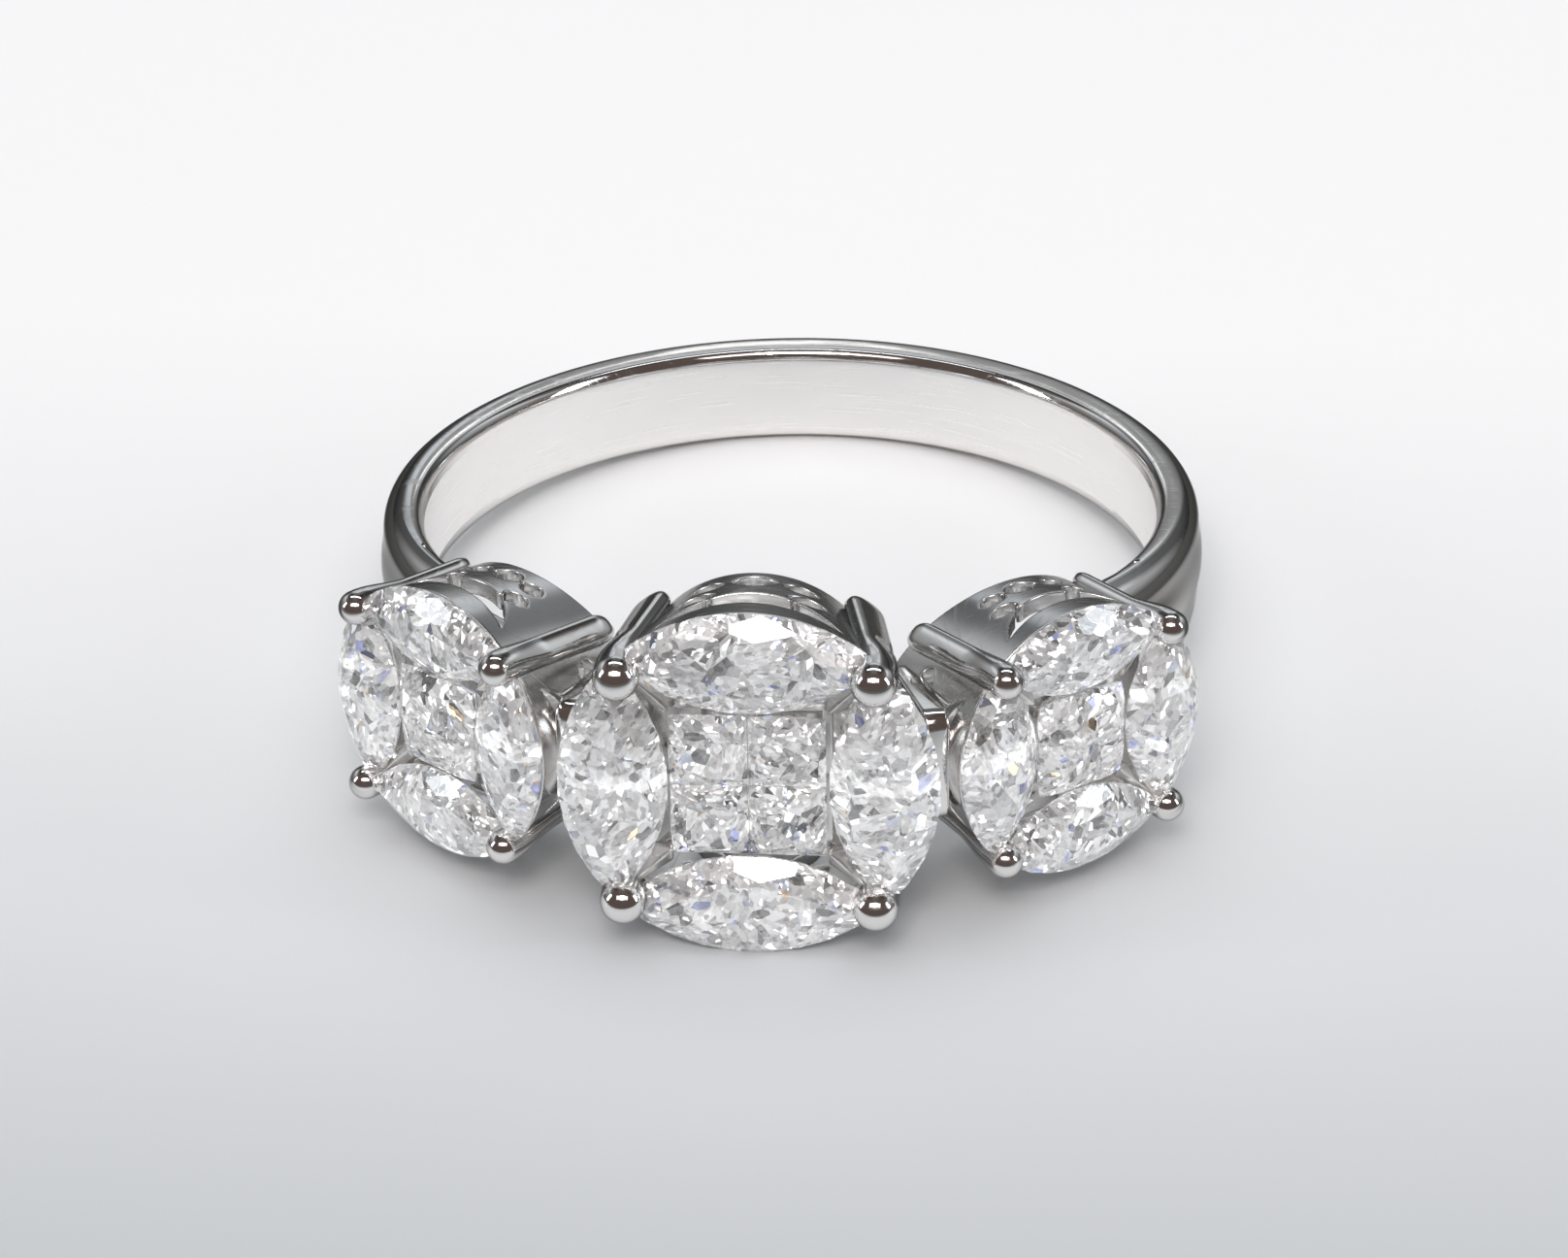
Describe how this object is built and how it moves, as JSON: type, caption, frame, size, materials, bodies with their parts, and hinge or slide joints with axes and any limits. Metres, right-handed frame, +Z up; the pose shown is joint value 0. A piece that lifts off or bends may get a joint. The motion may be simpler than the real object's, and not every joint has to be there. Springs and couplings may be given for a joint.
{
  "type": "illusion set ring",
  "caption": "Illusion-set ring in white gold: a large head between two smaller ones, each a block of princess stones framed by marquises, on a plain tapered band.",
  "frame": {"origin": "centre of the ring's length and width, on the table it lies on", "axes": "+X across the heads to the right as seen from the front, -Y out of the centre head towards the viewer, +Z up from the table"},
  "size_m": [0.0196, 0.0226, 0.0083],
  "materials": {
    "white_gold": "polished white gold",
    "clear_stone": "faceted clear gemstone"
  },
  "bodies": {
    "root": {"white_gold_ring": "white_gold", "centre_marquise_1": "clear_stone", "centre_marquise_2": "clear_stone", "centre_marquise_3": "clear_stone", "centre_marquise_4": "clear_stone", "left_marquise_1": "clear_stone", "left_marquise_2": "clear_stone", "left_marquise_3": "clear_stone", "left_marquise_4": "clear_stone", "right_marquise_1": "clear_stone", "right_marquise_2": "clear_stone", "right_marquise_3": "clear_stone", "right_marquise_4": "clear_stone", "centre_princess_1": "clear_stone", "centre_princess_2": "clear_stone", "centre_princess_3": "clear_stone", "centre_princess_4": "clear_stone", "left_princess_1": "clear_stone", "right_princess_1": "clear_stone"}
  },
  "joints": []
}
